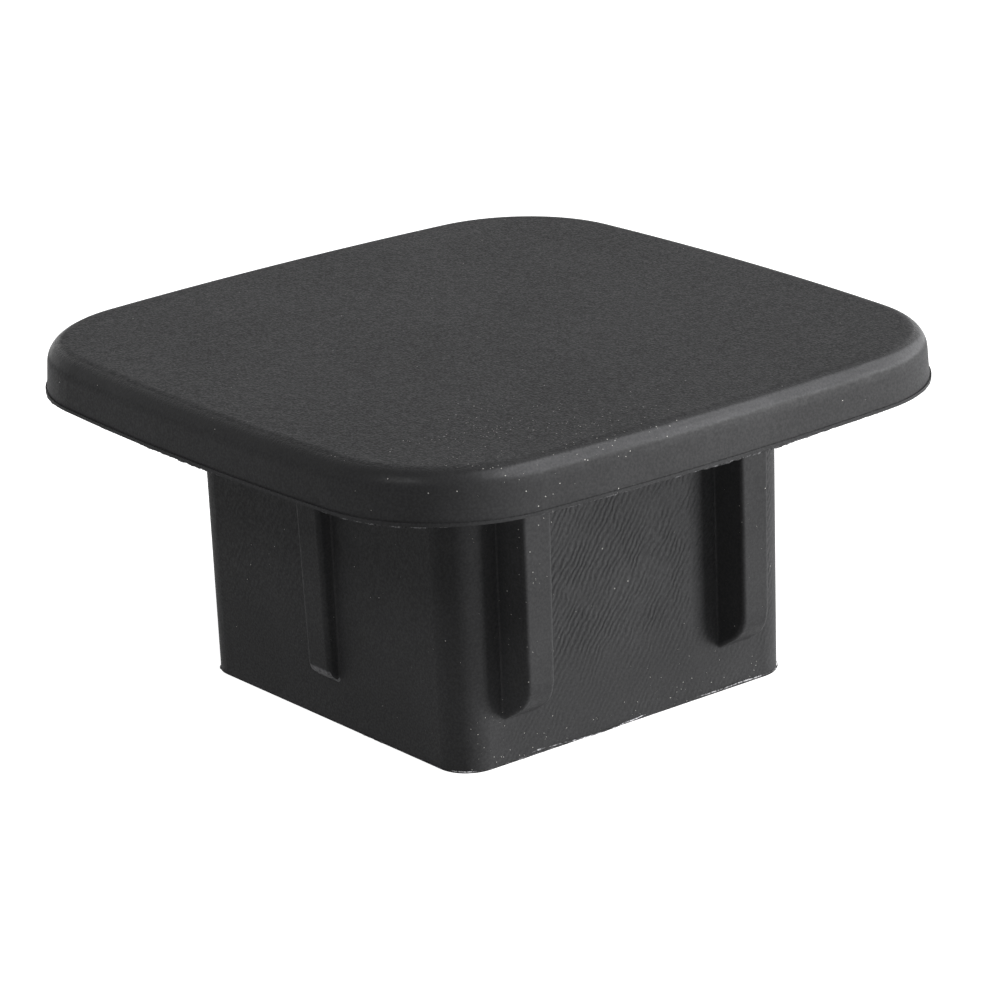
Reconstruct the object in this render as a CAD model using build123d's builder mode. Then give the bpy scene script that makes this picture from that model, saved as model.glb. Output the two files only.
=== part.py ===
from build123d import *
import os
from math import cos, radians, sin, tan

# Rubber cover that pushes into the open end of a 2 inch square hitch receiver tube.
# One moulded piece: a bowed square plate, and under it a hollow square plug with ribs that grip the tube.
# Sizes are in millimetres. The origin is the middle of the shoulder, where the plate's underside meets
# the tube's end. +Z points out through the plate's face, and the plug hangs below.

# Plate
plate_width = 78.0
plate_bow = 2.1
plate_corner = 16.0
plate_thickness = 5.4
plate_draft = 4.0
face_round = 2.3

# Lip that the mould's parting line leaves round the foot of the plate
lip_height = 0.35
lip_reach = 0.15

# Plug
plug_width = 45.8
plug_depth = 32.8
plug_corner = 4.0
plug_draft = 0.6

# Well inside the plug
wall = 5.0
well_corner = 2.5
well_draft = 1.0
well_round = 2.0
plate_over_well = 5.0

# Ribs, two each on the +Y and -Y sides and one each on the +X and -X sides
bare_end = 5.0
rib_flank_draft = 12.0
rib_narrowing = 0.35
nose_angle = 57.0
root_round = 0.3
paired_rib_inset = 8.2
paired_rib_width = 3.75
paired_rib_height = 3.6
paired_rib_draft = 0.8
paired_rib_nose = 4.0
paired_rib_round = 0.5
single_rib_width = 4.0
single_rib_height = 1.7
single_rib_draft = 1.6
single_rib_nose = 1.6
single_rib_round = 0.6

# How far a rib's solid runs into the plug before it is joined
rib_overlap = 3.0

rib_length = plug_depth - bare_end
half_spacing = plug_width / 2 - paired_rib_inset
side_middle = Location((0, plug_width / 2, 0))
plug_sides = [Location((0, 0, 0), (0, 0, turn)) * side_middle for turn in (0, 90, 180, 270)]


def lean(angle, distance):
    """How far a face that leans by an angle moves over a distance."""
    return distance * tan(radians(angle))


def bowed_square(width, bow, corner):
    """Outline with four shallow arcs as sides and round corners."""
    middle = width / 2
    end = middle - bow
    with BuildSketch() as outline:
        with BuildLine():
            ThreePointArc((end, -end), (middle, 0), (end, end))
            ThreePointArc((end, end), (0, middle), (-end, end))
            ThreePointArc((-end, end), (-middle, 0), (-end, -end))
            ThreePointArc((-end, -end), (0, -middle), (end, -end))
        make_face()
        fillet(outline.vertices(), corner)
    return outline.sketch


def make_rib(width, height, face_draft, nose, edge_round):
    """Rib for a side that faces +Y, from the shoulder at z = 0 down to a blunt nose."""
    foot = Vector(-lean(plug_draft, rib_length), -rib_length)
    nose_rise = (height - foot.X - lean(face_draft, rib_length)) / (lean(nose_angle, 1) - lean(face_draft, 1))
    crest = Vector(height - lean(face_draft, rib_length - nose_rise), nose_rise - rib_length)
    inner_end = foot + (foot - crest) * (rib_overlap / height)
    with BuildPart() as rib:
        # Block with the rib's side view, and the nose rounded between its slope and the outer face
        with BuildSketch(Plane.YZ) as side_view:
            with BuildLine():
                Polyline((inner_end.X, 0), (height, 0), crest, inner_end, close=True)
            make_face()
        extrude(amount=width, both=True)
        fillet(rib.edges().filter_by(Axis.X).sort_by_distance((0, crest.X, crest.Y))[0], nose)

        # Flanks that spread towards the plug and close in towards the nose
        for side in (-1, 1):
            down = Vector(-side * lean(rib_narrowing, 1), -lean(face_draft, 1), -1)
            inward = Vector(side * lean(rib_flank_draft, 1), -1, 0)
            flank = Plane((side * width / 2, height, 0), down, down.cross(inward) * side)
            split(bisect_by=flank, keep=Keep.TOP)

        # Both long edges, which run smoothly from the shoulder over the nose
        fillet(rib.edges().filter_by(GeomType.ELLIPSE), edge_round)
    return rib.part


plate_outline = bowed_square(plate_width - 2 * lip_reach, plate_bow, plate_corner)
lip_outline = bowed_square(plate_width, plate_bow, plate_corner + lip_reach)
paired_rib = make_rib(
    paired_rib_width,
    paired_rib_height,
    paired_rib_draft,
    paired_rib_nose,
    paired_rib_round,
)
single_rib = make_rib(
    single_rib_width,
    single_rib_height,
    single_rib_draft,
    single_rib_nose,
    single_rib_round,
)

# Plate with its rounded face, and the parting lip round its foot
with BuildPart() as plate:
    with BuildSketch():
        add(plate_outline)
    extrude(amount=plate_thickness)
    draft(plate.faces().filter_by(Axis.Z, reverse=True), Plane.XY, plate_draft)
    fillet(plate.faces().sort_by(Axis.Z)[-1].edges(), face_round)
    with BuildSketch():
        add(lip_outline)
    extrude(amount=lip_height)

# Plug, solid at first, with ribs on its four sides and a small round at their roots
with BuildPart() as plug:
    with BuildSketch():
        RectangleRounded(plug_width, plug_width, plug_corner)
    extrude(amount=-plug_depth, taper=plug_draft)
    with Locations(*plug_sides[0::2]):
        with Locations((-half_spacing, 0), (half_spacing, 0)):
            add(paired_rib)
    fillet(plug.edges(Select.NEW), root_round)
    with Locations(*plug_sides[1::2]):
        add(single_rib)
    fillet(plug.edges(Select.NEW), root_round)

# Space inside the plug, open at its rim
well_mouth = plug_width - 2 * lean(plug_draft, plug_depth) - 2 * wall
well_depth = plug_depth + plate_thickness - plate_over_well
with BuildPart() as well:
    with BuildSketch(Plane.XY.offset(-plug_depth)):
        RectangleRounded(well_mouth, well_mouth, well_corner)
    extrude(amount=well_depth, taper=well_draft)
    fillet(well.faces().sort_by(Axis.Z)[-1].edges(), well_round)

# The whole moulding
with BuildPart() as receiver_cover:
    add(plate.part)
    add(plug.part)
    add(well.part, mode=Mode.SUBTRACT)

receiver_cover.part.label = "receiver_cover"
os.makedirs("parts", exist_ok=True)
export_step(receiver_cover.part, "parts/receiver_cover.step")
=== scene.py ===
import math
from bisect import bisect_left
from random import Random

import bpy
from mathutils import Matrix, Vector, noise
from mathutils.bvhtree import BVHTree


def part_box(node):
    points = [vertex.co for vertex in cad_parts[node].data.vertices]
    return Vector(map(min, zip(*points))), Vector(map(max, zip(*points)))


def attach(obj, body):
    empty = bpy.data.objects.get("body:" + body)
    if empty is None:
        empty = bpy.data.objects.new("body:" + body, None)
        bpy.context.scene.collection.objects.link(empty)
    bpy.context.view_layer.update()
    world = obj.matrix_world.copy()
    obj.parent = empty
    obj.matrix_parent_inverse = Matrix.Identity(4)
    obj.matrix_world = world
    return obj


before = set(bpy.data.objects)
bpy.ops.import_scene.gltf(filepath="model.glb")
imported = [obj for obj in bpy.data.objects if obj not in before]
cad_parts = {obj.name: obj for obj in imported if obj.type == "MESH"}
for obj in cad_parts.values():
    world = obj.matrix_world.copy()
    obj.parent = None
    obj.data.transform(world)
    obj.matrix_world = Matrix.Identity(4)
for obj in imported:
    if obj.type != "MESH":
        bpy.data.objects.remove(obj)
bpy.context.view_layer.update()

bl_info = {
    "name": "Hitch Receiver Cover",
    "version": (1, 0, 0),
    "blender": (4, 5, 0),
    "location": "3D View > Sidebar > Receiver Cover",
    "description": "Moulded rubber cover for a square receiver tube, with its mould marks and a studio stage",
    "category": "Add Mesh",
}

# Lengths are in metres. The plate's underside lies at z = 0, and the cover stands on its plug's rim.
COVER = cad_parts["receiver_cover"]
COVER_LOW, COVER_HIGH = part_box("receiver_cover")
RIM_Z = COVER_LOW.z
MM_PER_METRE = 1000.0

# Where one surface of the cover ends and the next begins, out from the middle
WELL_TO_OUTSIDE = (0.0200, 0.0206)
SIDE_TO_RIB = (0.02296, 0.02306)
RIB_FOOT_TO_FLANK = (0.0232, 0.0238)
RIB_CREST_TO_AIR = (0.0268, 0.0275)

# The same, up from z = 0
RIM_TO_SIDE = (-0.0315, -0.031)
PLUG_TO_PLATE = (-0.0008, -0.0002)
PLATE_SIDE_TO_ROUND = (0.001, 0.003)
ROUND_TO_FACE = (0.003, 0.005)

# Dust lies thickest round this place, over the plate's front corner
DUSTY_CORNER = Vector((-0.017, -0.034, 0.005))

WHITE = (1.0, 1.0, 1.0, 1.0)


# Settings

class RubberSettings(bpy.types.PropertyGroup):
    """Finish of the moulded rubber."""

    colour: bpy.props.FloatVectorProperty(
        name="Rubber Colour", description="Colour of the rubber itself",
        subtype="COLOR", size=3, min=0.0, max=1.0, default=(0.03, 0.03, 0.031))
    gloss: bpy.props.FloatProperty(
        name="Gloss", description="How strongly the rubber's skin reflects",
        subtype="FACTOR", min=0.0, max=1.0, default=0.085)
    roughness: bpy.props.FloatProperty(
        name="Roughness", description="How dull the rubber's skin is",
        subtype="FACTOR", min=0.0, max=1.0, default=0.6)
    edge_polish: bpy.props.FloatProperty(
        name="Edge Polish", description="How much smoother the rounded edge of the plate is",
        subtype="FACTOR", min=0.0, max=0.5, default=0.25)
    grain_size: bpy.props.FloatProperty(
        name="Grain Size", description="Width of one grain on the plate's face",
        subtype="DISTANCE", unit="LENGTH", min=0.00002, max=0.002, default=0.00026)
    grain_depth: bpy.props.FloatProperty(
        name="Grain Depth", description="Depth of the grain on the plate's face",
        subtype="DISTANCE", unit="LENGTH", min=0.0, max=0.0005, default=0.00006)
    mark_spacing: bpy.props.FloatProperty(
        name="Tool Mark Spacing", description="Distance between the cutter's marks on the plug's sides",
        subtype="DISTANCE", unit="LENGTH", min=0.0001, max=0.005, default=0.00066)
    mark_depth: bpy.props.FloatProperty(
        name="Tool Mark Depth", description="Depth of the cutter's marks on the plug's sides",
        subtype="DISTANCE", unit="LENGTH", min=0.0, max=0.0005, default=0.0001)
    mark_slope: bpy.props.FloatProperty(
        name="Tool Mark Slope", description="Angle of the cutter's marks above the level",
        subtype="ANGLE", unit="ROTATION", min=0.0, max=math.pi / 2, default=math.radians(54))
    dust_colour: bpy.props.FloatVectorProperty(
        name="Fine Dust Colour", description="Colour of the dust that clings to the rubber's grain",
        subtype="COLOR", size=3, min=0.0, max=1.0, default=(0.5, 0.49, 0.47))


class FlashSettings(bpy.types.PropertyGroup):
    """Thin skins of rubber that the mould's joints leave."""

    plate_drop: bpy.props.FloatProperty(
        name="Plate Flash Drop", description="How far the skin round the plate's foot hangs down at most",
        subtype="DISTANCE", unit="LENGTH", min=0.0, max=0.002, default=0.00026)
    rim_reach: bpy.props.FloatProperty(
        name="Rim Flash Reach", description="How far the skin round the plug's rim stands out at most",
        subtype="DISTANCE", unit="LENGTH", min=0.0, max=0.002, default=0.00022)
    rim_curl: bpy.props.FloatProperty(
        name="Rim Flash Curl", description="How far the skin round the plug's rim curls up at most",
        subtype="DISTANCE", unit="LENGTH", min=0.0, max=0.002, default=0.00036)
    step: bpy.props.FloatProperty(
        name="Station Spacing", description="Distance between the points along a skin's ragged edge",
        subtype="DISTANCE", unit="LENGTH", min=0.00005, max=0.002, default=0.00016)


class DustSettings(bpy.types.PropertyGroup):
    """Specks of pale dust on the rubber."""

    colour: bpy.props.FloatVectorProperty(
        name="Dust Colour", description="Colour of the specks",
        subtype="COLOR", size=3, min=0.0, max=1.0, default=(0.62, 0.6, 0.56))
    count: bpy.props.IntProperty(
        name="Number of Specks", description="How many specks lie on the whole cover",
        min=0, max=5000, default=210)
    largest: bpy.props.FloatProperty(
        name="Largest Speck", description="Length of the largest speck",
        subtype="DISTANCE", unit="LENGTH", min=0.00002, max=0.001, default=0.00014)
    seed: bpy.props.IntProperty(
        name="Scatter Seed", description="Another number scatters the specks another way",
        min=0, default=7)


class StageSettings(bpy.types.PropertyGroup):
    """Floor, lamps and camera."""

    floor_colour: bpy.props.FloatVectorProperty(
        name="Floor Colour", description="Colour of the floor",
        subtype="COLOR", size=3, min=0.0, max=1.0, default=(0.8, 0.8, 0.8))
    floor_size: bpy.props.FloatProperty(
        name="Floor Size", description="Width of the floor",
        subtype="DISTANCE", unit="LENGTH", min=0.2, max=20.0, default=6.0)
    lamp_distance: bpy.props.FloatProperty(
        name="Lamp Distance", description="Distance of the lamps from the cover",
        subtype="DISTANCE", unit="LENGTH", min=0.3, max=10.0, default=1.4)
    lamp_size: bpy.props.FloatProperty(
        name="Lamp Size", description="Width of one soft lamp",
        subtype="DISTANCE", unit="LENGTH", min=0.05, max=3.0, default=0.42)
    lamp_level: bpy.props.FloatProperty(
        name="Lamp Level", description="Share of each lamp's written power",
        subtype="FACTOR", min=0.0, soft_max=2.0, default=1.0)


# Materials

class NodeBench:
    """Places a material's or a world's shader nodes and joins them."""

    def __init__(self, owner):
        owner.use_nodes = True
        self.tree = owner.node_tree
        self.tree.nodes.clear()

    def node(self, kind, **values):
        made = self.tree.nodes.new("ShaderNode" + kind)
        for name, value in values.items():
            setattr(made, name, value)
        return made

    def put(self, socket, value):
        if isinstance(value, bpy.types.NodeSocket):
            self.tree.links.new(value, socket)
        else:
            socket.default_value = value

    def place(self):
        """Point on the piece, in metres."""
        return self.node("TexCoord").outputs["Object"]

    def maths(self, operation, *values):
        made = self.node("Math", operation=operation)
        for socket, value in zip(made.inputs, values):
            self.put(socket, value)
        return made.outputs[0]

    def times(self, product, *values):
        for value in values:
            product = self.maths("MULTIPLY", product, value)
        return product

    def plus(self, total, *values):
        for value in values:
            total = self.maths("ADD", total, value)
        return total

    def minus(self, value, taken):
        return self.maths("SUBTRACT", value, taken)

    def size_of(self, value):
        """Value without its sign."""
        return self.maths("ABSOLUTE", value)

    def vector(self, operation, *values):
        made = self.node("VectorMath", operation=operation)
        for socket, value in zip(made.inputs, values):
            self.put(socket, value)
        return made.outputs["Value" if operation == "LENGTH" else "Vector"]

    def split(self, vector):
        """The vector's X, Y and Z."""
        made = self.node("SeparateXYZ")
        self.put(made.inputs[0], vector)
        return tuple(made.outputs)

    def tinted(self, colour, tone):
        """Colour made darker or paler by a tone, in which 1 leaves it as it is."""
        made = self.node("VectorMath", operation="SCALE")
        self.put(made.inputs[0], tuple(colour))
        self.put(made.inputs["Scale"], tone)
        return made.outputs["Vector"]

    def between(self, value, low, high, start=0.0, end=1.0):
        """Value moved smoothly from start at low to end at high."""
        made = self.node("MapRange", interpolation_type="SMOOTHSTEP", clamp=True)
        amounts = {"Value": value, "From Min": low, "From Max": high, "To Min": start, "To Max": end}
        for name, amount in amounts.items():
            self.put(made.inputs[name], amount)
        return made.outputs["Result"]

    def cloud(self, place, per_metre, detail=2.0, roughness=0.5):
        """Smooth noise from about 0 to 1, with that many features to a metre."""
        made = self.node("TexNoise")
        self.put(made.inputs["Vector"], place)
        made.inputs["Scale"].default_value = per_metre
        made.inputs["Detail"].default_value = detail
        made.inputs["Roughness"].default_value = roughness
        return made.outputs["Fac"]

    def blots(self, place, per_metre, radius, share, smallest=0.35):
        """1 inside small scattered blots and 0 elsewhere; share says how many of them there are."""
        cells = self.node("TexVoronoi")
        self.put(cells.inputs["Vector"], place)
        cells.inputs["Scale"].default_value = per_metre
        chance = self.node("SeparateColor")
        self.put(chance.inputs[0], cells.outputs["Color"])
        largest = radius * per_metre
        reach = self.between(chance.outputs["Green"], 0.0, 1.0, smallest * largest, largest)
        return self.times(self.maths("LESS_THAN", cells.outputs["Distance"], reach),
                          self.maths("LESS_THAN", chance.outputs["Red"], share))

    def seen_directly(self):
        """1 for what the camera sees, also mirrored or through something clear, and 0 for other light."""
        ray = self.node("LightPath")
        bent = self.maths("MAXIMUM", ray.outputs["Is Glossy Ray"], ray.outputs["Is Transmission Ray"])
        return self.maths("MAXIMUM", ray.outputs["Is Camera Ray"], bent)

    def surface(self, colour, roughness, gloss, relief=None):
        """Solid surface, with a relief whose heights are in millimetres."""
        shader = self.node("BsdfPrincipled")
        self.put(shader.inputs["Base Color"], colour)
        self.put(shader.inputs["Roughness"], roughness)
        self.put(shader.inputs["Specular IOR Level"], gloss)
        if relief is not None:
            bump = self.node("Bump")
            bump.inputs["Strength"].default_value = 1.0
            bump.inputs["Distance"].default_value = 1.0 / MM_PER_METRE
            self.put(bump.inputs["Height"], relief)
            self.put(shader.inputs["Normal"], bump.outputs["Normal"])
        self.finish("OutputMaterial", shader.outputs["BSDF"])

    def finish(self, kind, result):
        self.put(self.node(kind).inputs["Surface"], result)


class CoverSkin:
    """Where a point of the cover lies and how its surface faces, as shader values."""

    def __init__(self, bench, settings):
        coordinates = bench.node("TexCoord")
        self.place = coordinates.outputs["Object"]
        self.x, self.y, self.z = bench.split(self.place)
        self.facing_x, self.facing_y, self.facing_z = bench.split(coordinates.outputs["Normal"])
        self.out_x, self.out_y = bench.size_of(self.x), bench.size_of(self.y)
        self.turned_x, self.turned_y = bench.size_of(self.facing_x), bench.size_of(self.facing_y)
        self.faces_y = bench.maths("GREATER_THAN", self.turned_y, self.turned_x)

        # 1 on each kind of surface and 0 elsewhere; a surface that faces up has a facing_z of 1, an upright
        # one 0 and one that faces down -1
        outwards = bench.maths("MAXIMUM", self.out_x, self.out_y)
        self.bare = bench.between(outwards, *SIDE_TO_RIB, 1.0, 0.0)
        self.outside = bench.between(outwards, *WELL_TO_OUTSIDE)
        self.below_plate = bench.between(self.z, *PLUG_TO_PLATE, 1.0, 0.0)
        self.upward = bench.between(self.facing_z, 0.55, 0.95)
        self.sideways = bench.between(bench.size_of(self.facing_z), 0.12, 0.4, 1.0, 0.0)
        self.rounded_edge = bench.times(
            bench.between(self.facing_z, 0.3, 0.6),
            bench.between(self.facing_z, 0.9, 0.98, 1.0, 0.0),
            bench.between(self.z, *PLATE_SIDE_TO_ROUND),
        )

        # Grain, and pores nearly three times as wide
        pores_to_a_grain = 0.37
        self.grain = bench.cloud(self.place, 1.0 / settings.grain_size, detail=2.0, roughness=0.6)
        self.pores = bench.cloud(self.place, pores_to_a_grain / settings.grain_size, detail=1.0)


def grain_relief(bench, skin, settings):
    """Height of the grain in millimetres: full on the face and faint elsewhere."""
    height = bench.plus(skin.grain, bench.times(skin.pores, 0.6))
    fade = bench.between(skin.upward, 0.0, 1.0, 0.06, 1.0)
    return bench.times(height, settings.grain_depth * MM_PER_METRE, fade)


def mark_relief(bench, skin, settings):
    """Height of the cutter's wavy marks in millimetres, on the plug's bare sides only."""
    # Distance along a side, to the right as one looks at it
    along_x = bench.times(skin.x, bench.maths("SIGN", skin.facing_y))
    along_y = bench.times(skin.y, bench.maths("SIGN", skin.facing_x))
    along = bench.minus(
        bench.times(along_y, bench.minus(1.0, skin.faces_y)),
        bench.times(along_x, skin.faces_y),
    )

    # Marks that run up and to the right, and waver
    across = bench.minus(
        bench.times(along, math.sin(settings.mark_slope) / settings.mark_spacing),
        bench.times(skin.z, math.cos(settings.mark_slope) / settings.mark_spacing),
    )
    sway = bench.times(bench.cloud(skin.place, 230.0, detail=1.0), 2.2)
    shake = bench.times(bench.cloud(skin.place, 1000.0), 0.9)
    phase = bench.plus(across, bench.plus(sway, shake))
    wave = bench.maths("SINE", bench.times(phase, 2 * math.pi))
    ridge = bench.plus(bench.times(wave, 0.5), 0.5)

    # Full on the flat of the Y sides, faint on the X sides, left of the first rib and near the rim
    flat_y = bench.between(skin.turned_y, 0.9, 0.99)
    flat_x = bench.times(
        bench.between(skin.turned_x, 0.9, 0.99, 0.0, 0.13),
        bench.maths("GREATER_THAN", skin.out_x, skin.out_y),
    )
    left_of_rib, above_rim = (-0.0185, -0.0165), (-0.029, -0.019)
    strength = bench.times(
        bench.between(bench.cloud(skin.place, 260.0), 0.36, 0.6, 0.5, 1.0),
        bench.maths("MAXIMUM", flat_y, flat_x),
        bench.between(along, *left_of_rib, 0.15, 1.0),
        bench.between(skin.z, *above_rim, 0.25, 1.0),
        skin.sideways,
        skin.bare,
        skin.outside,
        skin.below_plate,
    )
    return bench.times(ridge, strength, settings.mark_depth * MM_PER_METRE)


def rubber_tone(bench, skin):
    """How pale the rubber is: uneven all over, with a painted highlight on the plate's -Y rounded edge and
    painted floor light on the -X rib's downward-facing nose.
    """
    uneven = bench.between(bench.cloud(skin.place, 90.0, detail=3.0), 0.3, 0.7, 0.9, 1.1)
    bloom = bench.between(skin.grain, 0.3, 0.75, 0.86, 1.16)

    # Painted highlight on the plate's rounded -Y edge, paler in streaks along X and less towards the front
    # corner
    stretched = bench.vector("MULTIPLY", skin.place, (0.12, 1.0, 1.0))
    streaks = bench.cloud(stretched, 1500.0, detail=3.0, roughness=0.6)
    painted_edge_highlight = bench.times(
        skin.rounded_edge,
        bench.between(skin.facing_y, -0.6, -0.4, 1.0, 0.12),
        bench.between(skin.facing_x, -0.5, -0.06, 0.1, 1.0),
        bench.between(streaks, 0.3, 0.65, 0.72, 1.0),
    )
    tone = bench.times(uneven, bloom, bench.between(painted_edge_highlight, 0.0, 1.0, 1.0, 2.55))

    # Painted light: the -X rib's nose is made paler where it faces down, standing in for the light the pale
    # floor throws up onto it, mottled in patches
    nose = bench.times(
        bench.between(skin.facing_z, -0.35, -0.1, 1.0, 0.0),
        bench.minus(1.0, skin.faces_y),
        skin.outside,
        skin.below_plate,
        bench.between(skin.z, *RIM_TO_SIDE),
        bench.maths("LESS_THAN", skin.x, bench.times(skin.out_y, -1.0)),
    )
    painted_light_mottle = bench.between(bench.cloud(skin.place, 1800.0, detail=3.0), 0.3, 0.65, 1.8, 5.5)
    return bench.plus(tone, bench.times(nose, painted_light_mottle))


def fine_dust(bench, skin):
    """1 where a grain of fine dust lies: over the plate's front corner, on the -Y ribs and along the rim."""
    corner_dust = (0.003, 0.02)
    lower_ribs, plug_front = (-0.0275, -0.0245), (0.02, 0.0224)
    rim_band, rim_left = (-0.032, -0.026), (-0.018, -0.006)
    forward = bench.times(skin.y, -1.0)
    from_corner = bench.vector("LENGTH", bench.vector("SUBTRACT", skin.place, DUSTY_CORNER))
    on_corner = bench.times(
        bench.between(from_corner, *corner_dust, 1.0, 0.0),
        bench.between(skin.z, *ROUND_TO_FACE, 0.06, 1.0),
    )
    on_ribs = bench.times(
        bench.between(forward, *RIB_FOOT_TO_FLANK),
        bench.between(forward, *RIB_CREST_TO_AIR, 1.0, 0.0),
        bench.between(skin.z, *lower_ribs, 3.0, 0.6),
    )
    on_rim = bench.times(
        bench.between(forward, *plug_front),
        bench.between(skin.z, *rim_band, 1.0, 0.05),
        bench.between(skin.x, *rim_left, 3.0, 0.8),
    )
    share = bench.plus(
        bench.plus(bench.times(on_corner, 0.4), bench.times(on_ribs, 0.05)),
        bench.plus(bench.times(on_rim, 0.14), 0.009),
    )
    drifts = bench.between(bench.cloud(skin.place, 170.0), 0.4, 0.62, 0.15, 1.0)
    return bench.blots(skin.place, per_metre=3300.0, radius=0.00006, share=bench.times(share, drifts))


def paint_rubber(bench, settings):
    """Black moulded rubber with its grain, the cutter's marks, a painted highlight on the plate's edge,
    painted floor light on the -X rib's nose, and fine dust.
    """
    skin = CoverSkin(bench, settings)
    dusty = fine_dust(bench, skin)
    colour = bench.vector(
        "ADD",
        bench.tinted(settings.colour, bench.times(rubber_tone(bench, skin), bench.minus(1.0, dusty))),
        bench.tinted(settings.dust_colour, dusty),
    )

    # Glossier on the grain's high points and on the plate's rounded edge
    high = bench.plus(bench.times(skin.grain, 0.75), bench.times(skin.pores, 0.25))
    swing = bench.between(skin.upward, 0.0, 1.0, 0.07, 0.14)
    roughness = bench.minus(settings.roughness, bench.times(bench.between(high, 0.3, 0.7, -1.0, 1.0), swing))
    roughness = bench.minus(roughness, bench.times(skin.rounded_edge, settings.edge_polish))

    dents = bench.times(bench.cloud(skin.place, 900.0), 0.010)
    relief = bench.plus(grain_relief(bench, skin, settings), mark_relief(bench, skin, settings), dents)
    bench.surface(colour, roughness, settings.gloss, relief)


def paint_torn_rubber(bench, settings, palest_painted_highlight):
    """Thin torn rubber: the same black, paler and rougher in torn streaks and patches; the paleness is a
    painted highlight for the light the thin skins catch.
    """
    place = bench.place()
    tear = bench.cloud(place, 5200.0, detail=3.0, roughness=0.6)
    patches = bench.cloud(place, 700.0)
    # Painted highlight: paler in torn streaks and patches, up to the palest tone given
    tone = bench.times(
        bench.between(tear, 0.36, 0.6, 0.5, 3.0),
        bench.between(patches, 0.42, 0.6, 0.5, palest_painted_highlight),
    )
    roughness = bench.between(patches, 0.3, 0.7, 0.5, 0.75)
    bench.surface(bench.tinted(settings.colour, tone), roughness, settings.gloss, bench.times(tear, 0.02))


def paint_dust(bench, settings):
    """Dull pale dust, some specks darker than others."""
    place = bench.place()
    tone = bench.between(bench.cloud(place, 1500.0), 0.35, 0.65, 0.35, 1.1)
    roughness = bench.between(bench.cloud(place, 9000.0), 0.3, 0.7, 0.75, 0.95)
    bench.surface(bench.tinted(settings.colour, tone), roughness, gloss=0.2)


def paint_studio_white(bench, settings):
    """Pale floor that the camera and reflections see as white, with the cover's shadow left on it."""
    tone = bench.between(bench.cloud(bench.place(), 4.0), 0.3, 0.7, 0.985, 1.0)
    paper = bench.node("BsdfDiffuse")
    bench.put(paper.inputs["Color"], bench.tinted(settings.floor_colour, tone))
    glow = bench.node("Emission")
    bench.put(glow.inputs["Color"], WHITE)
    bench.put(glow.inputs["Strength"], bench.times(bench.seen_directly(), 0.9))
    both = bench.node("AddShader")
    bench.put(both.inputs[0], paper.outputs["BSDF"])
    bench.put(both.inputs[1], glow.outputs["Emission"])
    bench.finish("OutputMaterial", both.outputs["Shader"])


def shared_material(name, paint, *settings):
    """The material of that name, made once."""
    material = bpy.data.materials.get(name)
    if material is None:
        material = bpy.data.materials.new(name)
        paint(NodeBench(material), *settings)
    return material


# Shapes

def mesh_piece(name, corners, faces, material):
    """New mesh object that moves with the cover."""
    mesh = bpy.data.meshes.new(name)
    mesh.from_pydata([tuple(corner) for corner in corners], [], faces)
    mesh.validate()
    mesh.materials.append(material)
    piece = bpy.data.objects.new(name, mesh)
    bpy.context.scene.collection.objects.link(piece)
    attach(piece, "root")


def cover_surface():
    """The cover's surface, for finding where a ray meets it."""
    return BVHTree.FromObject(COVER, bpy.context.evaluated_depsgraph_get())


def outline_at(surface, height, step, rays=2880, beyond=0.06, fewest=12):
    """Points round the cover's outside at a height, evenly spaced, each with the direction that it faces.

    The rays start beyond the cover and run in towards its middle.
    """
    fine = []
    for index in range(rays):
        angle = 2 * math.pi * index / rays
        ray = Vector((math.cos(angle), math.sin(angle), 0.0))
        point = surface.ray_cast(Vector((0, 0, height)) + ray * beyond, -ray)[0]
        if point is None:
            raise RuntimeError("a ray missed the cover at height %g" % height)
        fine.append(point)
    lengths = [0.0]
    for index, point in enumerate(fine):
        lengths.append(lengths[-1] + (fine[(index + 1) % rays] - point).length)
    count = max(fewest, round(lengths[-1] / step))
    places = []
    index = 0
    for station in range(count):
        wanted = lengths[-1] * station / count
        while lengths[index + 1] < wanted:
            index += 1
        share = (wanted - lengths[index]) / (lengths[index + 1] - lengths[index])
        places.append(fine[index].lerp(fine[(index + 1) % rays], share))
    stations = []
    for station, point in enumerate(places):
        ahead = places[(station + 2) % count] - places[station - 2]
        stations.append((point, Vector((ahead.y, -ahead.x, 0.0)).normalized()))
    return stations


def at_height(point, height):
    """The point moved up or down to a height."""
    return Vector((point.x, point.y, height))


def raggedness(point, seed):
    """Uneven amount from 0 to 1 for a torn edge: long swells, short tears and fine threads."""
    swells_per_mm, tears_per_mm, threads_per_mm = 0.11, 0.9, 2.7
    least = 0.04
    place = point * MM_PER_METRE + Vector((seed * 17.0, seed * 5.0, seed * 3.0))
    swell = 0.5 + 0.8 * noise.noise(place * swells_per_mm)
    tear = 0.5 + 0.75 * noise.noise(place * tears_per_mm)
    thread = 0.5 + 0.7 * noise.noise(place * threads_per_mm)
    amount = swell * (0.55 * tear + 0.45 * thread) * 1.7
    return min(1.0, max(least, amount))


def drift(point, per_mm, seed):
    """Amount from 0 to 1 that wanders smoothly along a joint."""
    place = point * MM_PER_METRE * per_mm + Vector((seed * 7.0, seed * 13.0, 0.0))
    return min(1.0, max(0.0, 0.5 + 0.95 * noise.noise(place)))


def plate_section(settings, point, outwards):
    """Skin that hangs from the plate's foot: its top, its torn tip and its root, all sunk in a little."""
    sunk, top_height = 0.00002, 0.00006
    thinnest, thicker, lean = 0.00008, 0.00012, 0.00006
    amount = raggedness(point, 1)
    tip_in = sunk + lean * raggedness(point, 2)
    return (
        at_height(point - outwards * sunk, top_height),
        at_height(point - outwards * tip_in, sunk - settings.plate_drop * amount),
        at_height(point - outwards * (thinnest + thicker * amount), sunk),
    )


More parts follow.
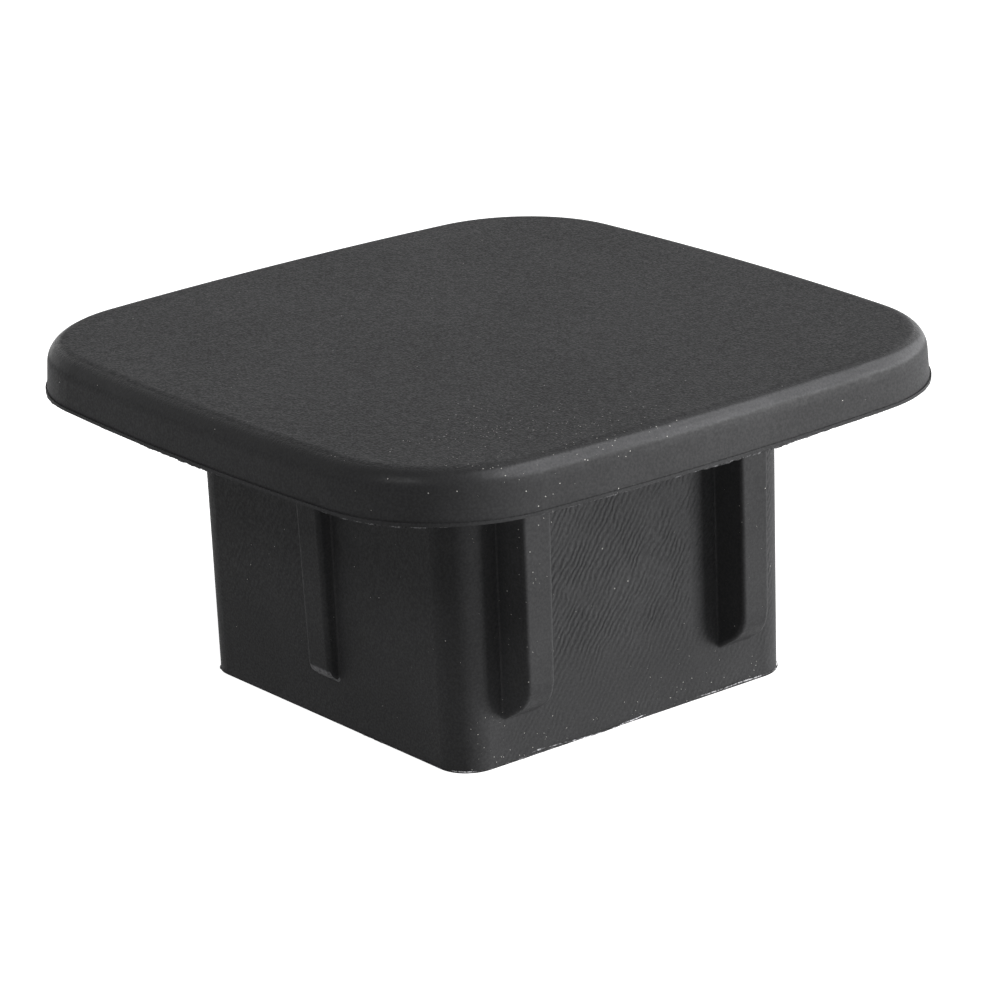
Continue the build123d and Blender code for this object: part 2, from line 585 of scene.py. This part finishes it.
def rim_section(settings, point, outwards):
    """Skin that stands out from the plug's rim and curls up: its top, its torn tip and its root."""
    sunk, root_height, tip_height, top_height = 0.00003, 0.000005, 0.00004, 0.0001
    amount = raggedness(point, 3)
    curl = settings.rim_curl * amount * raggedness(point, 4)
    return (
        at_height(point - outwards * sunk, RIM_Z + top_height + 0.5 * settings.rim_curl * amount),
        at_height(point + outwards * settings.rim_reach * amount, RIM_Z + tip_height + curl),
        at_height(point - outwards * sunk, RIM_Z + root_height),
    )


def strand_section(settings, point, outwards):
    """Strand that has come loose from the rim on the -Y side and stays inside the plug on the others."""
    lowest, thinnest, thicker = 0.00012, 0.00003, 0.00003
    loosest, tucked_in = 2.4, 0.8
    shown = min(1.0, max(0.0, 1.4 * -outwards.y))
    middle = point + outwards * settings.rim_reach * (loosest * shown * drift(point, 0.09, 1) - tucked_in)
    curl = 1.3 * drift(point, 0.12, 2) + 0.15 * drift(point, 0.7, 3)
    middle.z = RIM_Z + lowest + settings.rim_curl * curl
    thick = thinnest + thicker * drift(point, 1.3, 4)
    up = Vector((0.0, 0.0, thick))
    return middle + up, middle + outwards * thick - up, middle - outwards * thick


def wedge_ring(name, stations, section, settings, material):
    """Closed ring whose cross-section at each station is the three points that section gives."""
    corners, faces = [], []
    count = len(stations)
    for station in stations:
        corners.extend(section(settings, *station))
    for index in range(count):
        ahead = (index + 1) % count
        for side in range(3):
            after = (side + 1) % 3
            faces.append((3 * index + side, 3 * ahead + side, 3 * ahead + after, 3 * index + after))
    mesh_piece(name, corners, faces, material)


def open_triangles(mesh, steepest=-0.5):
    """The mesh's triangles that don't face down, each with its normal, and their running total of area."""
    mesh.calc_loop_triangles()
    triangles, areas, area = [], [], 0.0
    for triangle in mesh.loop_triangles:
        if triangle.normal.z > steepest:
            area += triangle.area
            areas.append(area)
            corners = (mesh.vertices[index].co for index in triangle.vertices)
            triangles.append((*corners, triangle.normal.copy()))
    return triangles, areas


def dust_share(point):
    """How likely dust lies at a place: over the plate's front corner, on the -Y ribs and along the rim."""
    plate_round, corner_spread = 0.0045, 0.013
    front_side, front_ribs = -0.02, -0.0234
    rim_dust_top, rim_dust_depth = -0.025, 0.007
    if point.z > 0.0:
        height_share = 1.0 if point.z > plate_round else 0.35
        nearness = math.exp(-((point - DUSTY_CORNER).length / corner_spread) ** 2)
        return height_share * (0.03 + 0.95 * nearness)
    if point.y > front_side:
        return 0.05
    if point.y < front_ribs:
        return 0.3
    return 0.08 + 0.5 * max(0.0, (rim_dust_top - point.z) / rim_dust_depth)


def dust_lies(point, normal, chance):
    """Whether a speck comes to rest at a place; none lies in the well or far over the plate's face."""
    well_side, well_top = 0.019, 0.004
    level, furthest = 0.96, 0.014
    patches_per_metre = 190.0
    if max(abs(point.x), abs(point.y)) < well_side and point.z < well_top:
        return False
    if normal.z > level and (point - DUSTY_CORNER).length > furthest:
        return False
    return chance.random() <= dust_share(point) * (0.6 + 0.9 * noise.noise(point * patches_per_metre))


def speck(point, normal, size, sides, chance):
    """Corners of one speck: those round its waist, one on top and one sunk below."""
    waist_height, sunk = 0.06, 0.1
    across = normal.orthogonal().normalized()
    across.rotate(Matrix.Rotation(chance.random() * 2 * math.pi, 3, normal))
    over = normal.cross(across)
    long_side, short_side = size * 0.5, size * (0.25 + 0.2 * chance.random())
    corners = []
    for index in range(sides):
        angle = 2 * math.pi * (index + 0.5 * chance.random()) / sides
        corners.append(point + across * math.cos(angle) * long_side * (0.75 + 0.5 * chance.random())
                       + over * math.sin(angle) * short_side * (0.75 + 0.5 * chance.random())
                       + normal * size * waist_height)
    corners.append(point + normal * size * (0.22 + 0.2 * chance.random()))
    corners.append(point - normal * size * sunk)
    return corners


def inside_cover_box(point):
    return all(COVER_LOW[axis] <= point[axis] <= COVER_HIGH[axis] for axis in range(3))


# Stage

# Direction round from +X and up from level in degrees, width and height as shares of the lamp size, watts
LAMPS = {
    "key_lamp": (-46.0, 4.0, 1.0, 1.0, 33.0),
    "side_lamp": (-15.0, 4.0, 1.0, 1.0, 4.5),
    "front_lamp": (-46.0, 25.0, 1.0, 1.0, 1.3),
    "high_left_lamp": (-78.0, 54.0, 0.8, 0.8, 2.9),
    "high_right_lamp": (-12.0, 54.0, 0.85, 0.85, 3.1),
    "back_lamp": (190.0, 44.0, 0.8, 0.8, 5.4),
}
LAMP_AIM = Vector((0.0, 0.0, -0.012))
LAMP_CLEARANCE = 0.005

# The floor lies this far below the rim, so that the two don't fight for the same place
FLOOR_GAP = 0.00001

# Camera, set by how the plate's and the plug's edges run in the picture: its angles round from -Y, up from
# level and tilted, in degrees; then its distances to the right, down and back from the origin
CAMERA_ANGLES = (-38.008, 18.948, -2.347)
CAMERA_RIGHT, CAMERA_DOWN, CAMERA_BACK = 0.001042, 0.01233, 0.494818

# Focal length and width of the picture in pixels, and the sensor's width in millimetres
FOCAL_LENGTH, PICTURE_WIDTH = 4645.195, 990
SENSOR_WIDTH = 36.0


def add_floor(scene, settings):
    """Wide pale floor under the rim."""
    half = settings.floor_size / 2
    level = RIM_Z - FLOOR_GAP
    corners = [(x * half, y * half, level) for x, y in ((-1, -1), (1, -1), (1, 1), (-1, 1))]
    mesh = bpy.data.meshes.new("floor")
    mesh.from_pydata(corners, [], [(0, 1, 2, 3)])
    mesh.materials.append(shared_material("studio_white", paint_studio_white, settings))
    floor = bpy.data.objects.new("floor", mesh)
    scene.collection.objects.link(floor)


def add_backdrop(scene):
    """White surroundings that are seen but give no light."""
    world = bpy.data.worlds.new("studio")
    scene.world = world
    bench = NodeBench(world)
    backdrop = bench.node("Background")
    bench.put(backdrop.inputs["Color"], WHITE)
    bench.put(backdrop.inputs["Strength"], bench.seen_directly())
    bench.finish("OutputWorld", backdrop.outputs["Background"])


def add_lamp(scene, settings, name, bearing, rise, width, height, watts):
    """Soft lamp that faces the cover and stays clear of the floor."""
    data = bpy.data.lights.new(name, "AREA")
    data.shape = "RECTANGLE"
    data.size = settings.lamp_size * width
    data.size_y = settings.lamp_size * height
    data.energy = watts * settings.lamp_level
    lamp = bpy.data.objects.new(name, data)
    turn, lift = math.radians(bearing), math.radians(rise)
    towards = Vector((math.cos(turn) * math.cos(lift), math.sin(turn) * math.cos(lift), math.sin(lift)))
    lamp.location = LAMP_AIM + towards * settings.lamp_distance
    lamp.location.z = max(lamp.location.z, RIM_Z + data.size_y / 2 + LAMP_CLEARANCE)
    lamp.rotation_euler = (lamp.location - LAMP_AIM).to_track_quat("Z", "Y").to_euler()
    scene.collection.objects.link(lamp)


def add_camera(scene):
    """Camera that sees the cover as the picture does."""
    yaw, pitch, roll = (math.radians(angle) for angle in CAMERA_ANGLES)
    back = Vector((math.sin(yaw) * math.cos(pitch), -math.cos(yaw) * math.cos(pitch), math.sin(pitch)))
    right = Vector((math.cos(yaw), math.sin(yaw), 0.0))
    up = back.cross(right)
    across = math.cos(roll) * right + math.sin(roll) * up
    upright = math.cos(roll) * up - math.sin(roll) * right
    centre = across * CAMERA_RIGHT - upright * CAMERA_DOWN + back * CAMERA_BACK
    data = bpy.data.cameras.new("camera")
    data.sensor_width = SENSOR_WIDTH
    data.lens = FOCAL_LENGTH / PICTURE_WIDTH * SENSOR_WIDTH
    data.clip_start, data.clip_end = 0.01, 20.0
    camera = bpy.data.objects.new("camera", data)
    turned = Matrix((across, upright, back)).transposed().to_4x4()
    camera.matrix_world = Matrix.Translation(centre) @ turned
    scene.collection.objects.link(camera)
    scene.camera = camera


# Operators

class COVER_OT_moulding(bpy.types.Operator):
    """Give the moulded cover its rubber finish"""

    bl_idname = "receiver_cover.moulding"
    bl_label = "Finish the Moulding"

    def execute(self, context):
        material = shared_material("moulded_rubber", paint_rubber, context.scene.cover_rubber)
        COVER.data.materials.clear()
        COVER.data.materials.append(material)
        return {"FINISHED"}


class COVER_OT_flash(bpy.types.Operator):
    """Add the torn skins of rubber along the mould's joints"""

    bl_idname = "receiver_cover.flash"
    bl_label = "Add Mould Flash"

    # How high above the plate's underside and above the rim the outlines are taken
    above = 0.0001

    def execute(self, context):
        settings = context.scene.cover_flash
        rubber = context.scene.cover_rubber
        # Both kinds of skin carry a painted highlight, and the loose strand's is the palest
        torn = shared_material("torn_rubber", paint_torn_rubber, rubber, 2.0)
        stretched = shared_material("strand_rubber_painted_highlight", paint_torn_rubber, rubber, 7.0)
        surface = cover_surface()
        foot = outline_at(surface, self.above, settings.step)
        rim = outline_at(surface, RIM_Z + self.above, settings.step)
        wedge_ring("plate_flash", foot, plate_section, settings, torn)
        wedge_ring("rim_flash", rim, rim_section, settings, torn)
        wedge_ring("rim_strand", rim, strand_section, settings, stretched)
        return {"FINISHED"}


class COVER_OT_dust(bpy.types.Operator):
    """Scatter pale specks of dust on the rubber"""

    bl_idname = "receiver_cover.dust"
    bl_label = "Scatter Dust"

    sides = 5

    def execute(self, context):
        settings = context.scene.cover_dust
        material = shared_material("pale_dust", paint_dust, settings)
        triangles, areas = open_triangles(COVER.data)
        chance = Random(settings.seed)
        corners, faces = [], []
        made = 0
        while made < settings.count:
            a, b, c, normal = triangles[bisect_left(areas, chance.random() * areas[-1])]
            u, v = chance.random(), chance.random()
            if u + v > 1.0:
                u, v = 1.0 - u, 1.0 - v
            point = a + (b - a) * u + (c - a) * v
            if not dust_lies(point, normal, chance):
                continue
            size = settings.largest * (0.28 + 0.72 * chance.random() ** 3)
            ring = speck(point, normal, size, self.sides, chance)
            if not all(inside_cover_box(corner) for corner in ring):
                continue
            start = len(corners)
            top, bottom = start + self.sides, start + self.sides + 1
            corners.extend(ring)
            for index in range(self.sides):
                here, after = start + index, start + (index + 1) % self.sides
                faces.append((here, after, top))
                faces.append((after, here, bottom))
            made += 1
        mesh_piece("dust_specks", corners, faces, material)
        return {"FINISHED"}


class COVER_OT_stage(bpy.types.Operator):
    """Set up the floor, the soft lamps and the camera"""

    bl_idname = "receiver_cover.stage"
    bl_label = "Set Up the Stage"

    def execute(self, context):
        scene = context.scene
        settings = scene.cover_stage
        add_floor(scene, settings)
        add_backdrop(scene)
        for name, values in LAMPS.items():
            add_lamp(scene, settings, name, *values)
        add_camera(scene)
        scene.view_settings.view_transform = "Standard"
        return {"FINISHED"}


# Each step's settings in the scene, their class and the step's operator
STEPS = (
    ("cover_rubber", RubberSettings, COVER_OT_moulding),
    ("cover_flash", FlashSettings, COVER_OT_flash),
    ("cover_dust", DustSettings, COVER_OT_dust),
    ("cover_stage", StageSettings, COVER_OT_stage),
)


class COVER_PT_panel(bpy.types.Panel):
    """Lists the steps that finish the cover"""

    bl_idname = "COVER_PT_panel"
    bl_label = "Receiver Cover"
    bl_space_type = "VIEW_3D"
    bl_region_type = "UI"
    bl_category = "Receiver Cover"

    def draw(self, context):
        for settings_name, group, operator in STEPS:
            box = self.layout.box()
            for name in group.__annotations__:
                box.prop(getattr(context.scene, settings_name), name)
            box.operator(operator.bl_idname)


def register():
    for name, group, operator in STEPS:
        bpy.utils.register_class(group)
        bpy.utils.register_class(operator)
        setattr(bpy.types.Scene, name, bpy.props.PointerProperty(type=group))
    bpy.utils.register_class(COVER_PT_panel)


def unregister():
    bpy.utils.unregister_class(COVER_PT_panel)
    for name, group, operator in reversed(STEPS):
        delattr(bpy.types.Scene, name)
        bpy.utils.unregister_class(operator)
        bpy.utils.unregister_class(group)


def main():
    register()
    bpy.ops.receiver_cover.moulding()
    bpy.ops.receiver_cover.flash()
    bpy.ops.receiver_cover.dust()
    bpy.ops.receiver_cover.stage()


if __name__ == "__main__":
    main()
